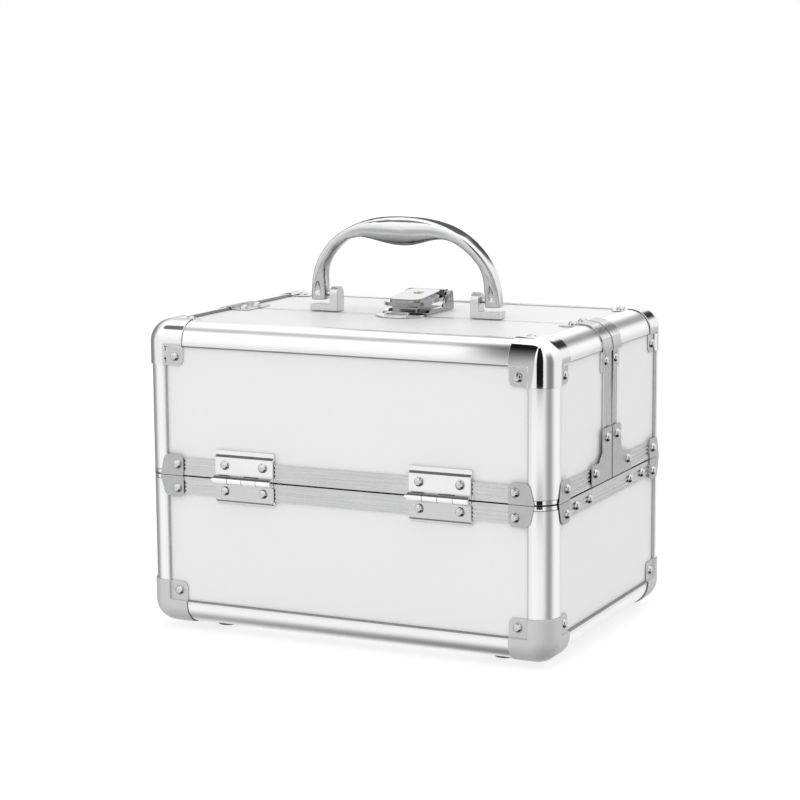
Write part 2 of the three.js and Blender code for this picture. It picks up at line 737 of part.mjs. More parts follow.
function lockBase() {
  const y0 = lidGap / 2 + lockSetback;
  const y1 = y0 + lockLength;
  const plate = prismZ(roundedRectangle(-lockHalfWidth, lockHalfWidth, y0, y1, lockPlateRound, 3),
    latchFloor, latchFloor + lockPlate);
  const pieces = [plate];
  for (const side of [-1, 1]) {
    const earSpan = [side * lockHalfWidth, side * (lockHalfWidth - lockEar)];
    const front = y0 + lockFlangeFront;
    const back = y1 - lockFlangeBack;
    const flangeTop = latchFloor + lockFlange;
    const flange = [
      [front, latchFloor], [back, latchFloor], [back, flangeTop],
      ...arc(latchAxisY, latchAxisZ, latchBarrelRadius, 0, 180, 8),
      [latchAxisY - latchAxisHeight, flangeTop], [front + lockFlangeRamp, flangeTop]
    ];
    pieces.push(prismX(flange, Math.min(...earSpan), Math.max(...earSpan)));
  }
  const pinEnd = lockHalfWidth - lockEar / 2;
  pieces.push(cylinderX(latchPinRadius, -pinEnd, pinEnd, latchAxisY, latchAxisZ, 12));
  const stopY = y0 + stopSetback;
  pieces.push(prismZ(roundedRectangle(-stopHalfWidth, stopHalfWidth, stopY, stopY + stopDepth, stopRound, 3),
    latchFloor, latchFloor + lockPlate + stopHeight));
  return union(pieces);
}

function latchLever() {
  const inside = lockHalfWidth - lockEar - fit;
  const noseY = -leverNoseReach + leverNoseRadius;
  const rise = leverNoseRadius * Math.sin(THREE.MathUtils.degToRad(leverNoseTurn));
  const shoulder = noseY + rise + leverShoulder;
  const outline = [
    ...arc(0, noseY, leverNoseRadius, 180 - leverNoseTurn, 360 + leverNoseTurn, 20),
    [inside, shoulder], [inside, latchAxisY], [-inside, latchAxisY], [-inside, shoulder]
  ];
  const plate = prismZ(outline, leverLow, leverHigh);
  const wedge = prismX([
    [housingFront, leverLow], [housingBack, leverLow],
    [housingBack, leverHigh + housingBackHeight], [housingFront, leverHigh + housingFrontHeight]
  ], -housingHalfWidth, housingHalfWidth);
  const housing = prismZ(
    roundedRectangle(-housingHalfWidth, housingHalfWidth, housingFront, housingBack, housingRound, 5),
    leverLow, leverHigh + housingBackHeight).intersect(wedge);
  const barrel = cylinderX(latchBarrelRadius, -inside, inside, latchAxisY, latchAxisZ);
  const bore = cylinderX(latchPinRadius + fit, -inside - 1, inside + 1, latchAxisY, latchAxisZ, 12);
  const well = cylinderZ(keyPlugRadius + fit, keyPlugRadius + fit, 0, keyPlugPlace,
    leverHigh, leverHigh + housingBackHeight + 1, 24);
  const bridge = box(-inside, inside, housingBack - bridgeLap, latchAxisY + bridgeBehind,
    latchAxisZ, leverHigh + housingBackHeight);
  return union([plate, housing, barrel, bridge]).subtract(bore).subtract(well);
}

function keyPlug() {
  const low = leverHigh + fit;
  const along = (keyPlugPlace - housingFront) / (housingBack - housingFront);
  const high = leverHigh + THREE.MathUtils.lerp(housingFrontHeight, housingBackHeight, along) + keyPlugProud;
  const plug = cylinderZ(keyPlugRadius, keyPlugRadius, 0, keyPlugPlace, low, high, 24);
  const slot = box(-keySlotWidth / 2, keySlotWidth / 2, keyPlugPlace - keySlotLength / 2,
    keyPlugPlace + keySlotLength / 2, high - keySlotDepth, high + 1);
  return plug.subtract(slot);
}

// Catch on the front lid: a half-round plate with a raised keeper
function lockCatch() {
  const back = -(lidGap / 2 + lockSetback);
  const outline = arc(0, back, 1, 180, 360, 14)
    .map(([x, y]) => [x * catchRadius, back + (y - back) * (catchReach - lockSetback)]);
  const plate = prismZ(outline, latchFloor, latchFloor + catchPlate);
  const keeper = prismZ(roundedRectangle(-keeperHalfWidth, keeperHalfWidth,
    -(keeperBack + keeperDepth), -keeperBack, keeperRound, 3), latchFloor, latchFloor + keeperHeight);
  return plate.add(keeper);
}

// The case, put together. The rear lid and its tray are the front ones turned half round.
const medicineCase = new THREE.Group();
medicineCase.position.z = bodyBottom;
const sideName = (side) => (side < 0 ? 'left' : 'right');
const endName = (side) => (side < 0 ? 'front' : 'rear');

medicineCase.add(node('tub_boards', tubBoards(), 'boards'));
medicineCase.add(node('tub_base_frame', tubBaseFrame(), 'rail'));
medicineCase.add(node('tub_rim_channel', tubRim(), 'channel'));
for (const sx of [-1, 1]) {
  for (const sy of [-1, 1]) {
    const place = `${endName(sy)}_${sideName(sx)}`;
    const postTop = tubHeight - rimWeb - fit;
    medicineCase.add(node(`tub_post_${place}`, post(sx, sy, railWidth + fit, postTop), 'rail'));
    medicineCase.add(node(`tub_corner_cap_${place}`, cornerCap(sx, sy, -1), 'nickel'));
  }
}

// Everything that belongs to one lid and its tray, built for the front
function lidAndTray(end) {
  const half = new THREE.Group();
  half.rotation.z = end > 0 ? Math.PI : 0;
  const name = endName(end);
  half.add(node(`${name}_lid_boards`, lidBoards(), 'boards'));
  half.add(node(`${name}_lid_edge_rail`, lidFrontRail(), 'rail'));
  half.add(node(`${name}_lid_rim_channel`, lidRim(), 'channel'));
  half.add(node(`${name}_lid_seam_arch`, lidSeamArch(), 'channel'));
  half.add(node(`${name}_tray`, tray(), 'tray'));
  for (const side of [-1, 1]) {
    const actual = sideName(end > 0 ? -side : side);
    const postBottom = lidBottom + rimWeb + fit;
    const postTop = bodyHeight - railWidth - fit;
    half.add(node(`${name}_lid_side_rail_${actual}`, lidSideRail(side), 'rail'));
    half.add(node(`${name}_lid_post_${actual}`, post(side, -1, postBottom, postTop), 'rail'));
    half.add(node(`${name}_lid_corner_cap_${actual}`, cornerCap(side, -1, 1), 'nickel'));
    half.add(node(`${name}_hinge_lid_leaf_${actual}`, hingeLeaf(1, side * hingeOffset), 'chrome'));
    half.add(node(`${name}_hinge_tub_leaf_${actual}`, hingeLeaf(-1, side * hingeOffset), 'chrome'));
    half.add(node(`${name}_tray_lead_arm_${actual}`, trayArm(side, 0), 'steel'));
    half.add(node(`${name}_tray_trail_arm_${actual}`, trayArm(side, 1), 'steel'));
    half.add(node(`${name}_lid_link_${actual}`, lidLink(side), 'steel'));
  }
  return half;
}

medicineCase.add(lidAndTray(-1));
medicineCase.add(lidAndTray(1));

const topHardware = new THREE.Group();
topHardware.position.x = topOffset;
const handle = node('carrying_handle', handleBar(), 'chrome');
handle.position.set(0, pivotY, pivotZ);
handle.rotation.x = THREE.MathUtils.degToRad(handleLean);
topHardware.add(handle);
topHardware.add(node('handle_bracket_left', handleBracket(-1), 'zinc'));
topHardware.add(node('handle_bracket_right', handleBracket(1), 'zinc'));
topHardware.add(node('lock_base', lockBase(), 'chrome'));
topHardware.add(node('lock_lever', latchLever(), 'chrome'));
topHardware.add(node('lock_key_plug', keyPlug(), 'brass'));
topHardware.add(node('lock_catch', lockCatch(), 'chrome'));
medicineCase.add(topHardware);

const whole = new THREE.Group();
whole.add(medicineCase);

export default whole;
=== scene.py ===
"""A two-lid aluminium medicine case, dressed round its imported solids. Metres, Z up, front at -Y."""
from math import cos, pi, radians, sin

import bpy
from mathutils import Matrix, Vector


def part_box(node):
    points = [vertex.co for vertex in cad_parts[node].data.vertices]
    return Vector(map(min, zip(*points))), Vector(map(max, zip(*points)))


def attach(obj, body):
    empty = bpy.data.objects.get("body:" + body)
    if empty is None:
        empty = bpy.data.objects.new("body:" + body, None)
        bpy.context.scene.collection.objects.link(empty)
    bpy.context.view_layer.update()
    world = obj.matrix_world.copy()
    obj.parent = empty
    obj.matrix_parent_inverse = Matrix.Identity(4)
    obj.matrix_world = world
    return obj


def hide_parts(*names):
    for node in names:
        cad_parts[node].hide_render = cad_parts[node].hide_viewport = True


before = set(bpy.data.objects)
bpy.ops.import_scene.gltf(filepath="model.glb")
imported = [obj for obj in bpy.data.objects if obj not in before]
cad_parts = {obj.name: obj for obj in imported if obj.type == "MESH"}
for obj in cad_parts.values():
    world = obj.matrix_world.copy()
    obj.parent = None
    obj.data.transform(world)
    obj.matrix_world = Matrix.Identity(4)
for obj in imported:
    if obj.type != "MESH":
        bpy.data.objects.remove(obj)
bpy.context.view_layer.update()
mm = 0.001
bpy.context.scene.view_settings.view_transform = "Standard"


# Camera
# A long lens a little above the lid, seen from the front and from the right-hand side. Its place and
# angles were worked out from the corners of the case in the photograph.
camera_place = Vector((0.6819, -1.4292, 0.4056))
camera_lens = 103.2
camera_swing = 25.742
camera_tilt = 9.051
camera_roll = -0.44
camera_data = bpy.data.cameras.new("camera")
camera_data.lens = camera_lens
camera_data.sensor_width = 36
camera = bpy.data.objects.new("camera", camera_data)
look = Matrix.Rotation(radians(camera_swing), 4, "Z") @ Matrix.Rotation(radians(90 - camera_tilt), 4, "X")
camera.matrix_world = Matrix.Translation(camera_place) @ look @ Matrix.Rotation(radians(camera_roll), 4, "Z")
bpy.context.scene.collection.objects.link(camera)
bpy.context.scene.camera = camera


# Studio
# A white tent all round the case, with a few soft dark gaps between its panels. The gaps are what draws the
# grey bands in the bright metal. The floor is white too and keeps the soft shadow of the case.
def direction(azimuth, elevation):
    """Azimuth runs from the front towards the right-hand side."""
    a, e = radians(azimuth), radians(elevation)
    return (sin(a) * cos(e), -cos(a) * cos(e), sin(e))


tent_gaps = (
    # azimuth, elevation, half width, softness, depth, upright strip
    (75, 0, 3, 23, 0.73, True),
    (-115, 0, 8, 35, 0.72, True),
    (-66, 60, 8, 6, 0.86, False),
    (169.5, 25, 6.5, 8, 0.96, False),
    (-26, -9, 3, 9, 0.35, False),
    (156, -9, 3, 9, 0.42, False),
    (45, -52, 22, 10, 0.95, False),
    (125, -54, 20, 12, 0.96, False),
    (0, -90, 12, 36, 0.88, False),
)
strip_top = sin(radians(19))
strip_end = sin(radians(58))
level_light, roof_light = 1.02, 1.36
world = bpy.data.worlds.new("tent")
bpy.context.scene.world = world
world.use_nodes = True
tree = world.node_tree
nodes, links = tree.nodes, tree.links
nodes.clear()


def maths(tree, kind, first, second=None):
    """One Math node fed by sockets or plain numbers."""
    made = tree.nodes.new("ShaderNodeMath")
    made.operation = kind
    for socket, given in zip(made.inputs, (first, second)):
        if isinstance(given, (int, float)):
            socket.default_value = given
        elif given is not None:
            tree.links.new(given, socket)
    return made.outputs[0]


def fade(tree, value, start, end, first, last):
    """A smooth change from one number to another while a value runs between two limits."""
    made = tree.nodes.new("ShaderNodeMapRange")
    made.interpolation_type = "SMOOTHSTEP"
    for name, number in (("From Min", start), ("From Max", end), ("To Min", first), ("To Max", last)):
        made.inputs[name].default_value = number
    tree.links.new(value, made.inputs["Value"])
    return made.outputs[0]


where = nodes.new("ShaderNodeTexCoord")
flat = nodes.new("ShaderNodeVectorMath")
flat.operation = "MULTIPLY"
flat.inputs[1].default_value = (1, 1, 0)
links.new(where.outputs["Generated"], flat.inputs[0])
level = nodes.new("ShaderNodeVectorMath")
level.operation = "NORMALIZE"
links.new(flat.outputs[0], level.inputs[0])
height = nodes.new("ShaderNodeSeparateXYZ")
links.new(where.outputs["Generated"], height.inputs[0])
near_level = fade(tree, maths(tree, "ABSOLUTE", height.outputs["Z"]), strip_top, strip_end, 1, 0)
light = fade(tree, height.outputs["Z"], 0, 0.9, level_light, roof_light)
for azimuth, elevation, width, softness, depth, upright in tent_gaps:
    facing = nodes.new("ShaderNodeVectorMath")
    facing.operation = "DOT_PRODUCT"
    facing.inputs[1].default_value = direction(azimuth, elevation)
    links.new(level.outputs[0] if upright else where.outputs["Generated"], facing.inputs[0])
    gap = fade(tree, facing.outputs["Value"], cos(radians(width + softness)), cos(radians(width)), 0, depth)
    if upright:
        gap = maths(tree, "MULTIPLY", gap, near_level)
    light = maths(tree, "MULTIPLY", light, maths(tree, "SUBTRACT", 1, gap))
tent = nodes.new("ShaderNodeBackground")
links.new(light, tent.inputs["Color"])
backdrop = nodes.new("ShaderNodeBackground")
backdrop.inputs["Color"].default_value = (1, 1, 1, 1)
ray = nodes.new("ShaderNodeLightPath")
pick = nodes.new("ShaderNodeMixShader")
links.new(ray.outputs["Is Camera Ray"], pick.inputs["Fac"])
links.new(tent.outputs[0], pick.inputs[1])
links.new(backdrop.outputs[0], pick.inputs[2])
out = nodes.new("ShaderNodeOutputWorld")
links.new(pick.outputs[0], out.inputs["Surface"])

floor_size = 12
floor_drop = 0.4 * mm
floor_extra_white = 0.14
floor_shadow_share = 0.35
bpy.ops.object.select_all(action="DESELECT")
bpy.ops.mesh.primitive_plane_add(size=floor_size, location=(0, 0, -floor_drop))
floor = bpy.context.object
floor.name = "studio_floor"
floor.visible_glossy = False
floor_paint = bpy.data.materials.new("studio_floor")
floor_paint.use_nodes = True
tree = floor_paint.node_tree
nodes, links = tree.nodes, tree.links
nodes.clear()
ray = nodes.new("ShaderNodeLightPath")
glow = nodes.new("ShaderNodeEmission")
brighter = maths(tree, "MULTIPLY", ray.outputs["Is Camera Ray"], floor_extra_white)
links.new(maths(tree, "ADD", 1, brighter), glow.inputs["Strength"])
shade = nodes.new("ShaderNodeBsdfDiffuse")
shade.inputs["Color"].default_value = (0.92, 0.92, 0.92, 1)
mixed = nodes.new("ShaderNodeMixShader")
mixed.inputs["Fac"].default_value = floor_shadow_share
out = nodes.new("ShaderNodeOutputMaterial")
links.new(glow.outputs[0], mixed.inputs[1])
links.new(shade.outputs[0], mixed.inputs[2])
links.new(mixed.outputs[0], out.inputs["Surface"])
floor.data.materials.append(floor_paint)


# Studio cards
# Only bright metal shows these. Two black flags stand off the right-hand front corner, so that the polished
# cap there shows the upper one and the post doesn't. A shaded card fades the front of that cap towards its
# top, and a dark one behind the handle draws its outline.
def stage_card(name, middle, facing, up, size, foot, head):
    """A card with its lower edge as bright as foot and its upper edge as bright as head."""
    bpy.ops.object.select_all(action="DESELECT")
    bpy.ops.mesh.primitive_plane_add(size=1)
    card = bpy.context.object
    card.name = f"studio_{name}"
    facing = Vector(facing).normalized()
    up = Vector(up).normalized()
    across = up.cross(facing)
    turn = Matrix((across * size[0], up * size[1], facing)).transposed().to_4x4()
    card.matrix_world = Matrix.Translation(middle) @ turn
    bpy.ops.object.transform_apply(location=True, rotation=True, scale=True)
    card.visible_camera = False
    card.visible_diffuse = False
    card.visible_shadow = False
    paint = bpy.data.materials.new(f"studio_{name}")
    paint.use_nodes = True
    tree = paint.node_tree
    tree.nodes.clear()
    spot = tree.nodes.new("ShaderNodeTexCoord")
    split = tree.nodes.new("ShaderNodeSeparateXYZ")
    tree.links.new(spot.outputs["UV"], split.inputs[0])
    glow = tree.nodes.new("ShaderNodeEmission")
    tree.links.new(fade(tree, split.outputs["Y"], 0.1, 0.8, foot, head), glow.inputs["Strength"])
    end = tree.nodes.new("ShaderNodeOutputMaterial")
    tree.links.new(glow.outputs[0], end.inputs["Surface"])
    card.data.materials.append(paint)


black = 0.01
flag_width = 0.06
flag_distance = 0.1
to_corner = direction(25.7, 0)
beside_corner = Vector((0.142, -0.105, 0)) + Vector(to_corner) * flag_distance
for name, rise, tall in (("tall_flag", 0.393, 0.45), ("low_flag", 0.0925, 0.016)):
    stage_card(name, middle=beside_corner + Vector((0, 0, rise)), facing=to_corner, up=(0, 0, 1),
               size=(flag_width, tall), foot=black, head=black)
stage_card("cap_card", middle=(0.101, -0.1931, 0.2592), facing=(-0.524, -0.658, 0.54), up=(0, 0.635, 0.773),
           size=(0.09, 0.257), foot=0.62, head=black)
stage_card("handle_card", middle=(-0.027, 0.075, 0.322), facing=(0, -1, 0), up=(0, 0, 1),
           size=(0.15, 0.078), foot=0.12, head=0.12)


# Boards
# Three open boxes of thin board: the tub and the two lids. A silver-grey laminate covers the outside, a
# dark fleece lines the inside, and the edges are rounded off under the rails.
def shader(name, base, metallic, roughness, coat=0.0):
    """A material with one Principled shader, whose plain values sit on the shader itself."""
    material = bpy.data.materials.new(name)
    material.use_nodes = True
    surface = material.node_tree.nodes["Principled BSDF"]
    surface.inputs["Base Color"].default_value = (*base, 1)
    surface.inputs["Metallic"].default_value = metallic
    surface.inputs["Roughness"].default_value = roughness
    surface.inputs["Coat Weight"].default_value = coat
    return material, material.node_tree.nodes, material.node_tree.links, surface


def streaks_group():
    """Fine parallel streaks: a noise drawn out by the three scales, and a slow cloud over it."""
    group = bpy.data.node_groups.new("fine_streaks", "ShaderNodeTree")
    for name, kind, value in (("Fineness", "NodeSocketVector", (900, 900, 900)),
                              ("Low", "NodeSocketFloat", 0.1), ("High", "NodeSocketFloat", 0.2),
                              ("Cloud", "NodeSocketFloat", 0.3)):
        socket = group.interface.new_socket(name=name, in_out="INPUT", socket_type=kind)
        socket.default_value = value
    group.interface.new_socket(name="Height", in_out="OUTPUT", socket_type="NodeSocketFloat")
    group.interface.new_socket(name="Value", in_out="OUTPUT", socket_type="NodeSocketFloat")
    nodes, links = group.nodes, group.links
    given = nodes.new("NodeGroupInput")
    place = nodes.new("ShaderNodeTexCoord")
    drawn = nodes.new("ShaderNodeVectorMath")
    drawn.operation = "MULTIPLY"
    links.new(place.outputs["Object"], drawn.inputs[0])
    links.new(given.outputs["Fineness"], drawn.inputs[1])
    streak = nodes.new("ShaderNodeTexNoise")
    streak.inputs["Scale"].default_value = 1
    streak.inputs["Detail"].default_value = 3
    links.new(drawn.outputs[0], streak.inputs["Vector"])
    cloud = nodes.new("ShaderNodeTexNoise")
    cloud.inputs["Scale"].default_value = 22
    links.new(place.outputs["Object"], cloud.inputs["Vector"])
    blend = nodes.new("ShaderNodeMix")
    links.new(given.outputs["Cloud"], blend.inputs["Factor"])
    links.new(streak.outputs["Fac"], blend.inputs["A"])
    links.new(cloud.outputs["Fac"], blend.inputs["B"])
    spread = nodes.new("ShaderNodeMapRange")
    spread.inputs["From Min"].default_value = 0.3
    spread.inputs["From Max"].default_value = 0.7
    links.new(blend.outputs["Result"], spread.inputs["Value"])
    links.new(given.outputs["Low"], spread.inputs["To Min"])
    links.new(given.outputs["High"], spread.inputs["To Max"])
    made = nodes.new("NodeGroupOutput")
    links.new(streak.outputs["Fac"], made.inputs["Height"])
    links.new(spread.outputs[0], made.inputs["Value"])
    return group


fine_streaks = streaks_group()


def add_streaks(nodes, links, surface, fineness, low, high, cloud=0.3, bump=0.1, depth=0.02 * mm):
    """Roughness and a shallow bump from the streaks."""
    use = nodes.new("ShaderNodeGroup")
    use.node_tree = fine_streaks
    use.inputs["Fineness"].default_value = fineness
    use.inputs["Low"].default_value = low
    use.inputs["High"].default_value = high
    use.inputs["Cloud"].default_value = cloud
    links.new(use.outputs["Value"], surface.inputs["Roughness"])
    relief = nodes.new("ShaderNodeBump")
    relief.inputs["Strength"].default_value = bump
    relief.inputs["Distance"].default_value = depth
    links.new(use.outputs["Height"], relief.inputs["Height"])
    links.new(relief.outputs[0], surface.inputs["Normal"])
    return use


def tint(nodes, links, surface, factor, dark, bright):
    """Base colour between two shades of the same finish."""
    shades = nodes.new("ShaderNodeMix")
    shades.data_type = "RGBA"
    shades.inputs["A"].default_value = (*dark, 1)
    shades.inputs["B"].default_value = (*bright, 1)
    links.new(factor, shades.inputs["Factor"])
    links.new(shades.outputs["Result"], surface.inputs["Base Color"])


laminate, nodes, links, surface = shader("silver_laminate", (0.8, 0.8, 0.805), 0.06, 0.42, 0.12)
surface.inputs["Coat Roughness"].default_value = 0.22
use = add_streaks(nodes, links, surface, (260, 260, 2600), 0.36, 0.5, cloud=0.35, bump=0.06)
tint(nodes, links, surface, use.outputs["Height"], (0.76, 0.76, 0.765), (0.805, 0.805, 0.81))
fleece, nodes, links, surface = shader("lining_fleece", (0.045, 0.045, 0.05), 0, 0.95)
surface.inputs["Sheen Weight"].default_value = 0.5
surface.inputs["Sheen Roughness"].default_value = 0.4
use = add_streaks(nodes, links, surface, (1500, 1500, 1500), 0.85, 1, cloud=0.2, bump=0.5, depth=0.3 * mm)
tint(nodes, links, surface, use.outputs["Height"], (0.02, 0.02, 0.023), (0.075, 0.075, 0.082))


def solid_box(node):
    """The lowest and the highest corner of a solid."""
    low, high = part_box(node)
    return Vector(low), Vector(high)


case_low, case_high = solid_box("tub_base_frame")
case_bottom = case_low.z
case_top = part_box("front_lid_edge_rail")[1][2]
half_width, half_depth = case_high.x, case_high.y
board = 4 * mm
board_corner = 13 * mm
hair = 0.1 * mm  # places this close count as the same


def only(piece):
    """Selects one object and nothing else."""
    bpy.ops.object.select_all(action="DESELECT")
    piece.select_set(True)
    bpy.context.view_layer.objects.active = piece


def choose(piece, kind, test):
    """Selects, in edit mode, the elements of one kind that pass a test of their middle and normal."""
    bpy.ops.object.mode_set(mode="EDIT")
    bpy.ops.mesh.select_mode(type=kind)
    bpy.ops.mesh.select_all(action="DESELECT")
    bpy.ops.object.mode_set(mode="OBJECT")
    mesh = piece.data
    if kind == "FACE":
        for face in mesh.polygons:
            face.select = test(face.center, face.normal)
    elif kind == "EDGE":
        for edge in mesh.edges:
            ends = [mesh.vertices[i].co for i in edge.vertices]
            edge.select = test((ends[0] + ends[1]) / 2, (ends[1] - ends[0]).normalized())
    else:
        for vertex in mesh.vertices:
            vertex.select = test(vertex.co, vertex.normal)
    bpy.ops.object.mode_set(mode="EDIT")


def finish(piece, modifier, **settings):
    """Adds one modifier, sets it and applies it."""
    only(piece)
    added = piece.modifiers.new(modifier.lower(), modifier)
    for name, value in settings.items():
        setattr(added, name, value)
    bpy.ops.object.modifier_apply(modifier=added.name)


def smooth(piece, angle=35, flat_faces=True):
    """Smooth shading up to an angle, in which the large faces stay flat."""
    only(piece)
    bpy.ops.object.shade_smooth_by_angle(angle=radians(angle))
    if flat_faces:
        finish(piece, "WEIGHTED_NORMAL", keep_sharp=True)


def block(name, low, high):
    """A box between two corners, with its place in its mesh."""
    low, high = Vector(low), Vector(high)
    bpy.ops.object.select_all(action="DESELECT")
    bpy.ops.mesh.primitive_cube_add(size=1, location=(low + high) / 2)
    piece = bpy.context.object
    piece.name = name
    piece.scale = high - low
    bpy.ops.object.transform_apply(location=True, rotation=True, scale=True)
    return piece


def cut_away(piece, cutter):
    """Takes the space of one object out of another and removes the first."""
    finish(piece, "BOOLEAN", operation="DIFFERENCE", solver="EXACT", object=cutter)
    bpy.data.objects.remove(cutter)


def board_box(node, body, open_back):
    """One open box. A lid also stays open on the side of Y, 1 or -1, where it meets the other."""
    low, high = solid_box(node)
    is_tub = node == "tub_boards"
    if is_tub:
        low.z = case_bottom + (half_width - high.x)
    piece = block(f"{node}_laminated", low, high)
    rim = high.z if is_tub else low.z

    def outer_edge(place, along):
        if abs(place.z - rim) < mm:
            return False
        return not (open_back and abs(place.y - (high.y if open_back > 0 else low.y)) < mm)

    choose(piece, "EDGE", outer_edge)
    bpy.ops.mesh.bevel(offset=board_corner, segments=6, affect="EDGES")
    bpy.ops.object.mode_set(mode="OBJECT")
    inner_low = low + Vector((board, board, board))
    inner_high = high - Vector((board, board, board))
    if is_tub:
        inner_high.z = high.z + board
    else:
        inner_low.z = low.z - board
    if open_back > 0:
        inner_high.y = high.y + board
    elif open_back < 0:
        inner_low.y = low.y - board
    cut_away(piece, block("hollow", inner_low, inner_high))
    for material in (laminate, fleece):
        piece.data.materials.append(material)
    for face in piece.data.polygons:
        inside = all(inner_low[i] - hair < face.center[i] < inner_high[i] + hair for i in range(3))
        face.material_index = 1 if inside else 0
    smooth(piece, 30)
    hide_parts(node)
    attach(piece, body)


board_box("tub_boards", "root", open_back=0)
for end, side in (("front", 1), ("rear", -1)):
    board_box(f"{end}_lid_boards", f"{end}_lid", open_back=side)


# Feet
# Four small feet moulded in dark rubber and glued under the floor board, a little inside its corners. They
# taper towards the ground, and the case stands on them and not on its caps.
foot_rubber, nodes, links, surface = shader("foot_rubber", (0.1, 0.1, 0.1), 0, 0.6)
use = add_streaks(nodes, links, surface, (900, 900, 900), 0.5, 0.75, cloud=0.4, bump=0.2, depth=0.1 * mm)
tint(nodes, links, surface, use.outputs["Height"], (0.05, 0.05, 0.05), (0.12, 0.12, 0.12))
foot_x, foot_y = half_width - 45 * mm, half_depth - 30 * mm
foot_radius = 8 * mm
foot_top = case_bottom + 2 * mm
foot_taper = 0.875
foot_edge = 0.8 * mm
for x in (-foot_x, foot_x):
    for y in (-foot_y, foot_y):
        bpy.ops.object.select_all(action="DESELECT")
        bpy.ops.mesh.primitive_cylinder_add(vertices=32, radius=foot_radius, depth=foot_top,
                                            location=(x, y, foot_top / 2))
        foot = bpy.context.object
        foot.name = f"foot_{'front' if y < 0 else 'rear'}_{'left' if x < 0 else 'right'}"
        bpy.ops.object.transform_apply(location=True, rotation=True, scale=True)
        choose(foot, "FACE", lambda place, normal: normal.z < -0.9)
        bpy.ops.transform.resize(value=(foot_taper, foot_taper, 1), center_override=(x, y, 0))
        bpy.ops.mesh.bevel(offset=foot_edge, segments=3, affect="EDGES")
        bpy.ops.object.mode_set(mode="OBJECT")
        foot.data.materials.append(foot_rubber)
        smooth(foot)
        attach(foot, "root")


# Edge rails and corner posts
# Quarter-round aluminium extrusions with a flat lip along each board. They are polished and anodised, and
# show faint drawing lines along their length.
rail_radius = 15 * mm
rail_lip = 2 * mm
rail_wall = 1.7 * mm
lip_round = 1.1 * mm
lip_end = rail_radius + 0.9 * rail_lip
# Two painted shades for the end faces of the rail lips, a dark one and a lighter one.
lip_shade_metals = []
for base in (0.3, 0.58):
    metal, nodes, links, surface = shader("lip_edge_painted_shade", (base, base, base), 1, 0.5)
    use = add_streaks(nodes, links, surface, (800, 800, 800), 0.45, 0.6, cloud=0.4, bump=0.05)
    tint(nodes, links, surface, use.outputs["Height"], (base * 0.85,) * 3, (base * 1.2,) * 3)
    lip_shade_metals.append(metal)
rail_metals = []
for fineness in ((40, 3000, 3000), (3000, 40, 3000), (3000, 3000, 40)):
    metal, nodes, links, surface = shader("polished_rail", (0.93, 0.932, 0.935), 1, 0.29)
    use = add_streaks(nodes, links, surface, fineness, 0.26, 0.33, cloud=0.3, bump=0.04)
    tint(nodes, links, surface, use.outputs["Height"], (0.9, 0.902, 0.905), (0.95, 0.952, 0.955))
    rail_metals.append(metal)


def edge_rail(name, low, high, along, away, body):
    """A rail in the box from low to high. Away gives the two outward faces beside its length."""
    length = high[along] - low[along]
    bpy.ops.object.select_all(action="DESELECT")
    bpy.ops.mesh.primitive_plane_add(size=1, rotation=(pi / 2, 0, 0))
    rail = bpy.context.object
    rail.name = name
    rail.scale = (rail_lip, length, 1)
    rail.location = (-rail_radius - rail_lip / 2, 0, 0)
    bpy.ops.object.transform_apply(location=True, rotation=True, scale=True)
    choose(rail, "EDGE", lambda place, run: place.x > -rail_radius - hair)
    bpy.ops.mesh.spin(steps=18, angle=-pi / 2, center=(-rail_radius, rail_radius, 0), axis=(0, 0, 1))
    bpy.ops.mesh.extrude_region_move(TRANSFORM_OT_translate={"value": (0, rail_lip, 0)})
    bpy.ops.mesh.select_all(action="SELECT")
    bpy.ops.mesh.remove_doubles(threshold=0.001 * mm)
    bpy.ops.object.mode_set(mode="OBJECT")
    finish(rail, "SOLIDIFY", thickness=rail_wall, offset=-1)

    def lip_edge(place, run):
        on_one = place.x < -lip_end and place.y < hair
        on_other = place.y > lip_end and place.x > -hair
        return abs(run.z) > 0.9 and (on_one or on_other)

    choose(rail, "EDGE", lip_edge)
    bpy.ops.mesh.bevel(offset=lip_round, segments=4, affect="EDGES")
    bpy.ops.object.mode_set(mode="OBJECT")
    # The end faces of the lips are painted dark, a painted shade for the shadow gap along the board. It is
    # lighter on the posts and on the right-hand rails of the lids, and the top rail of the rear lid has none.
    rear_or_right_top = list(away) == [1, 1]
    chosen_lip_shade = lip_shade_metals[1 if along == 2 or rear_or_right_top else 0]
    for metal in (rail_metals[along], chosen_lip_shade):
        rail.data.materials.append(metal)
    lip_start = rail_radius + rail_lip - lip_round
    without_lip_shade = along == 0 and rear_or_right_top
    for face in rail.data.polygons:
        if not without_lip_shade and (face.center.x < -lip_start or face.center.y > lip_start):
            face.material_index = 1
    one, other = [i for i in range(3) if i != along]
    facing = [Vector((0, 0, 0)), Vector((0, 0, 0))]
    facing[0][one] = away[0]
    facing[1][other] = away[1]
    corner = (Vector(low) + Vector(high)) / 2
    corner[one] = high[one] if away[0] > 0 else low[one]
    corner[other] = high[other] if away[1] > 0 else low[other]
    turn = Matrix((facing[0], -facing[1], facing[0].cross(-facing[1]))).transposed().to_4x4()
    rail.matrix_world = Matrix.Translation(corner) @ turn
    only(rail)
    bpy.ops.object.transform_apply(location=True, rotation=True, scale=True)
    smooth(rail, 40)
    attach(rail, body)
    return rail


def rail_for(node, body):
    """The rail that stands for one solid, with its direction read from that solid's box."""
    low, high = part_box(node)
    size = [high[i] - low[i] for i in range(3)]
    along = size.index(max(size))
    middle = (0, 0, (case_bottom + case_top) / 2)
    away = [1 if (low[i] + high[i]) / 2 > middle[i] else -1 for i in range(3) if i != along]
    rail = edge_rail(f"{node}_drawn", low, high, along, away, body)
    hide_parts(node)


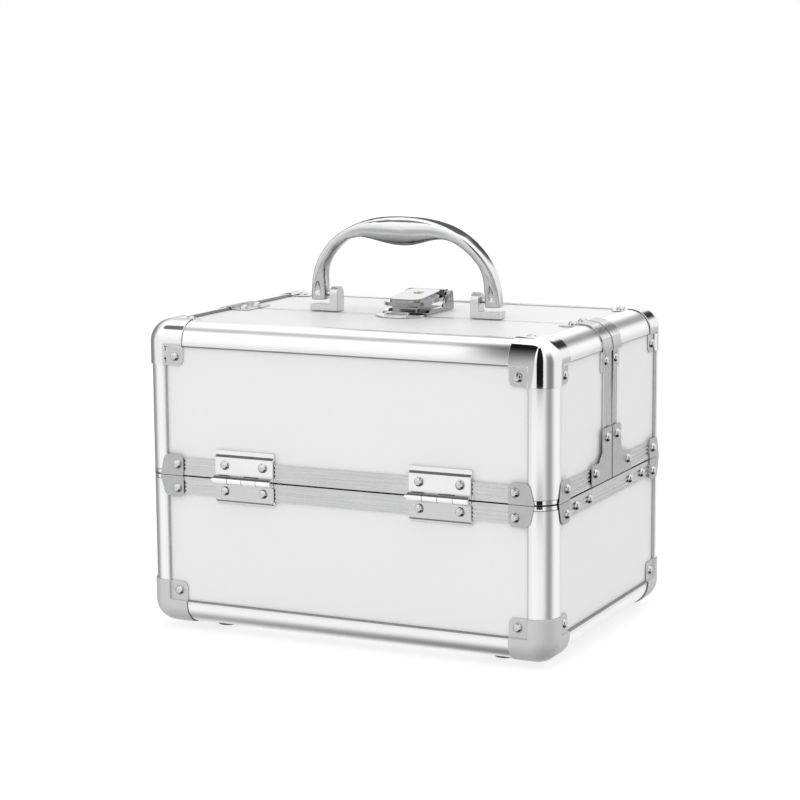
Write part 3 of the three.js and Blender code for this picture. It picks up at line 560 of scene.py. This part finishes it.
for end in ("front", "rear"):
    rail_for(f"{end}_lid_edge_rail", f"{end}_lid")
    for side in ("left", "right"):
        rail_for(f"tub_post_{end}_{side}", "root")
        rail_for(f"{end}_lid_post_{side}", f"{end}_lid")
        rail_for(f"{end}_lid_side_rail_{side}", f"{end}_lid")

# The four bottom rails stop under the corner caps.
rail_width = rail_radius + rail_lip
base_top = case_bottom + rail_width
base_rails = []
for y in (-1, 1):
    near = y * half_depth
    far = y * (half_depth - rail_width)
    base_rails.append(edge_rail("bottom_rail", (-half_width + rail_width, min(near, far), case_bottom),
                                (half_width - rail_width, max(near, far), base_top), 0, (y, -1), "root"))
for x in (-1, 1):
    near = x * half_width
    far = x * (half_width - rail_width)
    base_rails.append(edge_rail("bottom_rail", (min(near, far), -half_depth + rail_width, case_bottom),
                                (max(near, far), half_depth - rail_width, base_top), 1, (x, -1), "root"))
for rail, name in zip(base_rails, ("front", "rear", "left", "right")):
    rail.name = f"bottom_rail_{name}"
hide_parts("tub_base_frame")


# Rim and seam channels
# Ribbed aluminium channels over the open rims of the tub and the lids, and over the arches where the lids
# meet. The die leaves fine lines along them. Nickel-plated corner plates, gussets and straps are riveted on,
# and the web along the seam is polished at the corners.
channel_metals = []
for fineness in ((25, 2200, 2200), (2200, 25, 2200), (2200, 2200, 25)):
    metal, nodes, links, surface = shader("ribbed_channel", (0.71, 0.712, 0.716), 1, 0.26)
    use = add_streaks(nodes, links, surface, fineness, 0.2, 0.32, cloud=0.2, bump=0.05)
    tint(nodes, links, surface, use.outputs["Height"], (0.64, 0.642, 0.646), (0.82, 0.822, 0.826))
    channel_metals.append(metal)
plate_metal, nodes, links, surface = shader("nickel_plate", (0.56, 0.562, 0.565), 1, 0.24)
use = add_streaks(nodes, links, surface, (200, 200, 200), 0.24, 0.32, cloud=0.5, bump=0.01)
tint(nodes, links, surface, use.outputs["Height"], (0.52, 0.522, 0.525), (0.6, 0.602, 0.605))
web_metal, nodes, links, surface = shader("rim_polished", (0.85, 0.852, 0.856), 1, 0.05)
use = add_streaks(nodes, links, surface, (300, 300, 300), 0.04, 0.08, cloud=0.6, bump=0.01)
tint(nodes, links, surface, use.outputs["Height"], (0.82, 0.822, 0.826), (0.88, 0.882, 0.886))
seam_reach = 0.6 * mm
merge_reach = 0.002 * mm


def softened(node, body, metal, edge, angle=28, seam_edge=0):
    """A merged copy of a solid with its edges broken, and more so along the seam between the lids."""
    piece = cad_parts[node].copy()
    piece.data = piece.data.copy()
    piece.name = f"{node}_finished"
    bpy.context.scene.collection.objects.link(piece)
    piece.parent = None
    piece.matrix_world = Matrix.Identity(4)
    only(piece)
    bpy.ops.object.mode_set(mode="EDIT")
    bpy.ops.mesh.select_all(action="SELECT")
    bpy.ops.mesh.remove_doubles(threshold=merge_reach)
    bpy.ops.mesh.dissolve_limited(angle_limit=radians(2))
    bpy.ops.object.mode_set(mode="OBJECT")
    if seam_edge:
        def at_seam(place, run):
            outside = place.z > case_top - hair or abs(place.x) > half_width - hair
            return outside and abs(place.y) < seam_reach and abs(run.y) < 0.1

        choose(piece, "EDGE", at_seam)
        bpy.ops.mesh.bevel(offset=seam_edge, segments=3, affect="EDGES")
        bpy.ops.object.mode_set(mode="OBJECT")
    finish(piece, "BEVEL", width=edge, segments=2, limit_method="ANGLE", angle_limit=radians(angle))
    piece.data.materials.clear()
    piece.data.materials.append(metal)
    smooth(piece, 35)
    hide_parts(node)
    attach(piece, body)
    return piece


seam = case_bottom + 104.5 * mm
channel_edge = 0.1 * mm
arch_edge = 0.6 * mm
plate_lift = 0.05 * mm
side_strip = 5 * mm
corner_span = 15.5 * mm
web_at_corner, web_between = 3.2 * mm, 0.9 * mm


def channel(node, body, side_run):
    """A ribbed channel and its plates. Its strips are drawn along X, but for those on the side."""
    piece = softened(node, body, channel_metals[0], channel_edge, seam_edge=arch_edge)
    for metal in (channel_metals[side_run], plate_metal, web_metal):
        piece.data.materials.append(metal)
    upright = side_run == 2
    for face in piece.data.polygons:
        out_x, out_y = abs(face.center.x) - half_width, abs(face.center.y) - half_depth
        web = web_at_corner if min(out_x, out_y) > -corner_span else web_between
        if max(out_x, out_y, face.center.z - case_top) > plate_lift:
            face.material_index = 2
        elif not upright and abs(face.normal.z) < 0.6 and abs(face.center.z - seam) < web:
            face.material_index = 3
        elif out_x > -side_strip:
            face.material_index = 1


channel("tub_rim_channel", "root", side_run=1)
for end in ("front", "rear"):
    channel(f"{end}_lid_rim_channel", f"{end}_lid", side_run=1)
    channel(f"{end}_lid_seam_arch", f"{end}_lid", side_run=2)


# Hinges
# Two hinges on each long side, stamped from steel and chromed. The knuckles of the two leaves are rolled
# and take turns on one pin, and each leaf is riveted to its channel. The sloped bend down to the flange and
# the tops of the knuckles are painted dark: a painted reflection of a dark band on the bend, and painted
# shade along the knuckles.
hinge_metals = {}
# The lid's leaves get a lighter base than the tub's: painted light, one chrome in a lit and a shaded copy.
for half, base, rough in (("lid", 0.97, 0.34), ("tub", 0.88, 0.16)):
    metal, nodes, links, surface = shader(f"hinge_plate_{half}", (base, base, base * 1.005), 1, rough)
    low, high = rough - 0.04, rough + 0.04
    use = add_streaks(nodes, links, surface, (500, 500, 500), low, high, cloud=0.6, bump=0.02)
    tint(nodes, links, surface, use.outputs["Height"], (base * 0.98,) * 3, (base * 1.02,) * 3)
    hinge_metals[half] = metal
hinge_painted_shade, nodes, links, surface = shader("hinge_dark_band_painted", (0.2, 0.2, 0.203), 1, 0.3)
use = add_streaks(nodes, links, surface, (900, 900, 900), 0.25, 0.38, cloud=0.5, bump=0.03)
tint(nodes, links, surface, use.outputs["Height"], (0.14, 0.14, 0.143), (0.24, 0.24, 0.243))
hinge_edge = 0.2 * mm
bend_start = 9 * mm
knuckle_reach = 3.2 * mm


def hinge_leaf(end, half, side, body):
    """One leaf, on the lid or on the tub."""
    node = f"{end}_hinge_{half}_leaf_{side}"
    leaf = softened(node, body, hinge_metals[half], hinge_edge)
    leaf.data.materials.append(hinge_painted_shade)
    low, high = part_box(node)
    for face in leaf.data.polygons:
        if half == "lid":
            clear_of_pin, slope = face.center.z > low[2] + bend_start, face.normal.z
        else:
            clear_of_pin, slope = face.center.z < high[2] - bend_start, -face.normal.z
        bent = 0.3 < slope < 0.98 and abs(face.normal.y) > 0.2
        knuckle_top = abs(face.center.z - seam) < knuckle_reach and face.normal.z > 0.5
        # The bend and the knuckle tops take the dark metal: painted reflection and painted shade.
        if clear_of_pin and bent or knuckle_top:
            face.material_index = 1


for end in ("front", "rear"):
    for side in ("left", "right"):
        hinge_leaf(end, "lid", side, f"{end}_lid")
        hinge_leaf(end, "tub", side, "root")


# Handle brackets
# Two cast zinc feet on the rear lid, each with a round-topped ear that takes the handle's pin. They are
# tumbled, blasted satin and riveted through the lid from below.
bracket_metal, nodes, links, surface = shader("satin_bracket", (0.72, 0.72, 0.722), 1, 0.3)
use = add_streaks(nodes, links, surface, (1300, 1300, 1300), 0.24, 0.4, cloud=0.4, bump=0.12)
tint(nodes, links, surface, use.outputs["Height"], (0.66, 0.66, 0.662), (0.78, 0.78, 0.782))
for side in ("left", "right"):
    softened(f"handle_bracket_{side}", "rear_lid", bracket_metal, edge=0.5 * mm)


# Key latch
# A chromed base on the rear lid, a lever on a pin between its flanges, and a brass key plug in the lever.
# The lever closes over a catch plate on the front lid. The faces hidden between lever and base are painted
# dark, painted shade for the crevice, and the upright walls are a little rougher and painted darker than
# the tops, painted shade by which way they face.
latch_metal, nodes, links, surface = shader("latch_chrome", (0.76, 0.763, 0.768), 1, 0.05)
use = add_streaks(nodes, links, surface, (500, 500, 500), 0.03, 0.09, cloud=0.7, bump=0.03)
tint(nodes, links, surface, use.outputs["Height"], (0.73, 0.733, 0.738), (0.79, 0.793, 0.798))
latch_shade, nodes, links, surface = shader("latch_crevice_painted_shade", (0.16, 0.16, 0.163), 1, 0.4)
use = add_streaks(nodes, links, surface, (900, 900, 900), 0.32, 0.48, cloud=0.4, bump=0.1)
tint(nodes, links, surface, use.outputs["Height"], (0.12, 0.12, 0.123), (0.2, 0.2, 0.203))
latch_wall_painted_shade, nodes, links, surface = shader("latch_wall_painted_shade", (0.36, 0.362, 0.366), 1, 0.12)
use = add_streaks(nodes, links, surface, (500, 500, 500), 0.08, 0.18, cloud=0.7, bump=0.03)
tint(nodes, links, surface, use.outputs["Height"], (0.3, 0.302, 0.306), (0.42, 0.422, 0.426))
plug_brass, nodes, links, surface = shader("key_plug_brass", (0.62, 0.5, 0.3), 1, 0.3)
use = add_streaks(nodes, links, surface, (1200, 1200, 1200), 0.25, 0.4, cloud=0.4, bump=0.1)
tint(nodes, links, surface, use.outputs["Height"], (0.54, 0.43, 0.26), (0.7, 0.57, 0.36))
softened("lock_key_plug", "key_plug", plug_brass, edge=0.2 * mm)
softened("lock_catch", "front_lid", latch_metal, edge=0.3 * mm)
lever = softened("lock_lever", "lock_lever", latch_metal, edge=0.5 * mm)
base = softened("lock_base", "rear_lid", latch_metal, edge=0.35 * mm)
# Upright faces take the darker wall metal: painted shade by which way they face.
for piece in (lever, base):
    piece.data.materials.append(latch_shade)
    piece.data.materials.append(latch_wall_painted_shade)
    for face in piece.data.polygons:
        if abs(face.normal.z) < 0.3:
            face.material_index = 2
# The lever's underside takes the dark metal: painted shade between lever and base.
for face in lever.data.polygons:
    if face.normal.z < -0.3:
        face.material_index = 1
flange_inset, nose_depth = 3.1 * mm, 3 * mm
base_low, base_high = solid_box("lock_base")
base_middle = (base_low.x + base_high.x) / 2
between_flanges = base_high.x - flange_inset - base_middle
behind_nose = base_low.y + nose_depth
# The top of the base under the lever takes the dark metal too: painted shade.
for face in base.data.polygons:
    hidden = abs(face.center.x - base_middle) < between_flanges and face.center.y > behind_nose
    if hidden and face.center.z > base_low.z + mm and face.normal.z > 0.5:
        face.material_index = 1


# Corner caps
# Three-way caps pressed from nickel-plated steel, over the ends of the rails. On each face a tab steps down
# onto the board, where its rivet goes. The upper caps are polished and the lower ones are satin.
cap_reach = 30 * mm
cap_proud = 1 * mm
cap_sheet = 0.7 * mm
cap_step = rail_width + 0.3 * mm
step_run = 0.9 * mm
tab_drop = 1.9 * mm
tab_round = 4 * mm
cap_edge = 0.3 * mm
cap_metals = {}
for name, base, metallic, low, high in (("polished", 0.82, 1, 0.04, 0.09), ("satin", 0.6, 0.55, 0.5, 0.62)):
    metal, nodes, links, surface = shader(f"cap_nickel_{name}", (base, base, base * 1.005), metallic, low)
    use = add_streaks(nodes, links, surface, (700, 700, 700), low, high, cloud=0.5, bump=0.05)
    darker, lighter = base * 0.95, base * 1.05
    tint(nodes, links, surface, use.outputs["Height"], (darker, darker, darker), (lighter, lighter, lighter))
    cap_metals[name] = metal


def corner_cap(node, body, metal):
    """A cap on the corner that its solid covers. It is made for the front right top corner."""
    cap = block(f"{node}_pressed", (-cap_reach, -cap_proud, -cap_reach), (cap_proud, cap_reach, cap_proud))
    outward = (Vector((1, 0, 0)), Vector((0, -1, 0)), Vector((0, 0, 1)))

    def outer_edge(place, along):
        return sum(place.dot(way) > cap_proud - hair for way in outward) == 2

    choose(cap, "EDGE", outer_edge)
    bpy.ops.mesh.bevel(offset=rail_radius + cap_proud, segments=12, affect="EDGES")
    choose(cap, "FACE", lambda place, normal: any(place.dot(way) < -cap_reach + hair for way in outward))
    bpy.ops.mesh.delete(type="FACE")
    for way in outward:
        for start in (cap_step - step_run, cap_step):
            bpy.ops.mesh.select_all(action="SELECT")
            bpy.ops.mesh.bisect(plane_co=way * -start, plane_no=way)
    for way in outward:
        others = [one for one in outward if one != way]

        def on_tab(place, normal):
            return place.dot(way) > cap_proud - hair and all(place.dot(one) < -cap_step for one in others)

        choose(cap, "FACE", on_tab)
        bpy.ops.transform.translate(value=way * -tab_drop)

        def tab_corner(place, normal):
            at_end = all(place.dot(one) < -cap_reach + hair for one in others)
            return at_end and place.dot(way) > -tab_drop - hair

        choose(cap, "VERT", tab_corner)
        bpy.ops.mesh.bevel(offset=tab_round, segments=5, affect="VERTICES")
    bpy.ops.object.mode_set(mode="OBJECT")
    finish(cap, "SOLIDIFY", thickness=cap_sheet, offset=-1)
    finish(cap, "BEVEL", width=cap_edge, segments=3, limit_method="ANGLE", angle_limit=radians(35))
    low, high = solid_box(node)
    from_middle = (low + high) / 2 - Vector((0, 0, (case_bottom + case_top) / 2))
    sides = [1 if distance > 0 else -1 for distance in from_middle]
    cap.scale = (sides[0], -sides[1], sides[2])
    cap.location = (sides[0] * half_width, sides[1] * half_depth, case_top if sides[2] > 0 else case_bottom)
    only(cap)
    bpy.ops.object.transform_apply(location=True, rotation=True, scale=True)
    bpy.ops.object.mode_set(mode="EDIT")
    bpy.ops.mesh.select_all(action="SELECT")
    bpy.ops.mesh.normals_make_consistent(inside=False)
    bpy.ops.object.mode_set(mode="OBJECT")
    cap.data.materials.append(metal)
    smooth(cap, 40)
    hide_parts(node)
    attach(cap, body)


for end in ("front", "rear"):
    for side in ("left", "right"):
        corner_cap(f"{end}_lid_corner_cap_{side}", f"{end}_lid", cap_metals["polished"])
        corner_cap(f"tub_corner_cap_{end}_{side}", "root", cap_metals["satin"])


# Trays and their linkage
# Two divided trays moulded in black plastic. Each hangs on two pairs of zinc-plated steel arms, pinned to
# the rim of the tub, and is drawn out by a steel link from its lid at either end.
tray_plastic, nodes, links, surface = shader("tray_plastic", (0.03, 0.03, 0.032), 0, 0.5)
use = add_streaks(nodes, links, surface, (1100, 1100, 1100), 0.42, 0.6, cloud=0.3, bump=0.25, depth=0.05 * mm)
tint(nodes, links, surface, use.outputs["Height"], (0.02, 0.02, 0.022), (0.045, 0.045, 0.048))
zinc, nodes, links, surface = shader("zinc_steel", (0.68, 0.69, 0.7), 1, 0.3)
use = add_streaks(nodes, links, surface, (260, 260, 1500), 0.22, 0.4, cloud=0.5, bump=0.1)
tint(nodes, links, surface, use.outputs["Height"], (0.6, 0.61, 0.62), (0.76, 0.77, 0.78))
for name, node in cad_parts.items():
    if name.endswith("_tray"):
        node.data.materials.clear()
        node.data.materials.append(tray_plastic)
    elif "_arm_" in name or "_link_" in name:
        node.data.materials.clear()
        node.data.materials.append(zinc)


# Carrying handle
# A chromed zinc casting, thick and round in the grip, thin at the shoulders and squarish down to its feet.
# A pin through each foot hangs it between the brackets. A shallow teardrop is sunk into the flat of each
# leg above the foot, on both faces. The faces that look down are painted darker the further they turn
# down: painted shade on the underside.
handle_chrome, nodes, links, surface = shader("handle_chrome", (0.74, 0.743, 0.748), 1, 0.14)
use = add_streaks(nodes, links, surface, (300, 300, 300), 0.11, 0.17, cloud=0.7, bump=0.02)
tint(nodes, links, surface, use.outputs["Height"], (0.72, 0.723, 0.728), (0.77, 0.773, 0.778))
bow = softened("carrying_handle", "handle", handle_chrome, edge=0.15 * mm, angle=60)
finish(bow, "SUBSURF", levels=1, render_levels=1)
handle_pin = Vector((-5 * mm, 6.4 * mm, 225 * mm))
handle_lean = radians(5.5)
drop_radius = 2.1 * mm
drop_place = Vector((66.6 * mm, 5.2 * mm, 3.7 * mm))
drop_stretch, drop_point_width = 2, 0.65
drop_shape = (1, 0.5, 1.35)
for x in (-1, 1):
    for y in (-1, 1):
        bpy.ops.object.select_all(action="DESELECT")
        bpy.ops.mesh.primitive_uv_sphere_add(segments=32, ring_count=16, radius=drop_radius)
        drop = bpy.context.object
        choose(drop, "VERT", lambda place, normal: place.z > 0.05 * drop_radius)
        bpy.ops.transform.resize(value=(1, 1, drop_stretch), center_override=(0, 0, 0))
        choose(drop, "VERT", lambda place, normal: place.z > 0.9 * drop_radius)
        bpy.ops.transform.resize(value=(drop_point_width, 1, 1), center_override=(0, 0, 0))
        bpy.ops.object.mode_set(mode="OBJECT")
        drop.scale = drop_shape
        only(drop)
        bpy.ops.object.transform_apply(location=False, rotation=False, scale=True)
        on_leg = Matrix.Translation((x * drop_place.x, y * drop_place.y, drop_place.z))
        drop.matrix_world = Matrix.Translation(handle_pin) @ Matrix.Rotation(handle_lean, 4, "X") @ on_leg
        cut_away(bow, drop)
smooth(bow, 60, flat_faces=False)
# Painted shade: the base colour turns towards dark grey on the faces that look down.
underside_shade = bow.data.attributes.new("underside_shade", "FLOAT", "POINT")
underside_shade_start, underside_shade_fade = 0.12, 0.75
for vertex in bow.data.vertices:
    underside_shade.data[vertex.index].value = min(max((underside_shade_start - vertex.normal.z) / underside_shade_fade, 0), 1)
underside_shade_amount = nodes.new("ShaderNodeAttribute")
underside_shade_amount.attribute_name = "underside_shade"
shaded_base_colour = nodes.new("ShaderNodeMix")
shaded_base_colour.data_type = "RGBA"
shaded_base_colour.inputs["B"].default_value = (0.17, 0.17, 0.173, 1)
links.new(surface.inputs["Base Color"].links[0].from_socket, shaded_base_colour.inputs["A"])
links.new(underside_shade_amount.outputs["Fac"], shaded_base_colour.inputs["Factor"])
links.new(shaded_base_colour.outputs["Result"], surface.inputs["Base Color"])


# Rivets
# Domed steel rivets, nickel-plated and set by hand through caps, plates, hinges, straps, gussets and strips.
# Each head is a flattened dome, and all the rivets of one body make one piece.
rivet_radius = 3.4 * mm
rivet_height = 2.4 * mm
rivet_seat = 0.02 * mm
rivet_metal, nodes, links, surface = shader("rivet_plating", (0.62, 0.622, 0.626), 1, 0.12)
use = add_streaks(nodes, links, surface, (300, 300, 300), 0.1, 0.15, cloud=0.6, bump=0.01)
tint(nodes, links, surface, use.outputs["Height"], (0.59, 0.592, 0.596), (0.65, 0.652, 0.656))


def rivet(place, outward):
    """One domed head on a surface."""
    bpy.ops.object.select_all(action="DESELECT")
    bpy.ops.mesh.primitive_uv_sphere_add(segments=24, ring_count=12, radius=rivet_radius)
    head = bpy.context.object
    bpy.ops.object.mode_set(mode="EDIT")
    bpy.ops.mesh.select_all(action="SELECT")
    bpy.ops.mesh.bisect(plane_co=(0, 0, -rivet_seat), plane_no=(0, 0, 1), clear_inner=True, use_fill=True)
    bpy.ops.object.mode_set(mode="OBJECT")
    head.scale = (1, 1, rivet_height / rivet_radius)
    head.rotation_euler = Vector(outward).to_track_quat("Z", "Y").to_euler()
    head.location = place
    bpy.ops.object.transform_apply(location=True, rotation=True, scale=True)
    return head


def rivet_row(name, body, places):
    """All the rivets of one body, joined into one piece."""
    heads = [rivet(*one) for one in places]
    bpy.ops.object.select_all(action="DESELECT")
    for head in heads:
        head.select_set(True)
    bpy.context.view_layer.objects.active = heads[0]
    bpy.ops.object.join()
    row = bpy.context.object
    row.name = name
    row.data.materials.append(rivet_metal)
    smooth(row, 50)
    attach(row, body)


def on_long_side(x, y, from_middle, proud, z):
    """A place on the front or the rear of the case, and the way it looks."""
    return (x * from_middle, y * (half_depth + proud), z), (0, y, 0)


def on_short_side(x, y, from_middle, proud, z):
    """A place on the left or the right of the case, and the way it looks."""
    return (x * (half_width + proud), y * from_middle, z), (x, 0, 0)


def on_level(x, y, across, back, z, upward):
    """A place on the top or the underside of the case, and the way it looks."""
    return (x * across, y * back, z), (0, 0, upward)


tab_middle = (cap_step + cap_reach) / 2
tab_face = -cap_proud + tab_drop
plate_proud = 1.1 * mm
plate_x, plate_y = half_width - 25 * mm, half_depth - 24 * mm
plate_rise = {1: 8 * mm, -1: -8.5 * mm}
hinge_middle, hinge_spread = 72.5 * mm, 14.6 * mm
hinge_rise = {1: 10.1 * mm, -1: -7.6 * mm}
hinge_proud = 1.8 * mm
seam_offset = 9 * mm
gusset_top, gusset_toe, gusset_toe_rise = 30 * mm, 31 * mm, 9 * mm
strap_inset, strap_sunk = 24 * mm, 0.9 * mm
strip_places, strip_drop, strip_sunk = (62.2 * mm, 38.7 * mm), 6.6 * mm, 0.3 * mm
for body, upward, long_sides in (("root", -1, (-1, 1)), ("front_lid", 1, (-1,)), ("rear_lid", 1, (1,))):
    level = case_top if upward > 0 else case_bottom
    tab_level = level - upward * tab_middle
    plate_level = seam + plate_rise[upward]
    places = []
    for y in long_sides:
        for x in (-1, 1):
            places += [
                on_long_side(x, y, half_width - tab_middle, -tab_face, tab_level),
                on_short_side(x, y, half_depth - tab_middle, -tab_face, tab_level),
                on_level(x, y, half_width - tab_middle, half_depth - tab_middle,
                         level - upward * tab_face, upward),
                on_long_side(x, y, plate_x, plate_proud, plate_level),
                on_short_side(x, y, plate_y, plate_proud, plate_level),
            ]
            for offset in (-hinge_spread, hinge_spread):
                places.append(on_long_side(x, y, hinge_middle + x * offset, hinge_proud,
                                           seam + hinge_rise[upward]))
            if upward > 0:
                places += [
                    on_short_side(x, y, seam_offset, plate_proud, seam + gusset_top),
                    on_short_side(x, y, gusset_toe, plate_proud, seam + gusset_toe_rise),
                    on_short_side(x, y, seam_offset, -strap_sunk, case_top - strap_inset),
                    on_level(x, y, half_width - strap_inset, seam_offset, case_top - strap_sunk, 1),
                ]
            else:
                for back in strip_places:
                    places.append(on_short_side(x, y, back, -strip_sunk, seam - strip_drop))
    rivet_row(f"{body}_rivets", body, places)
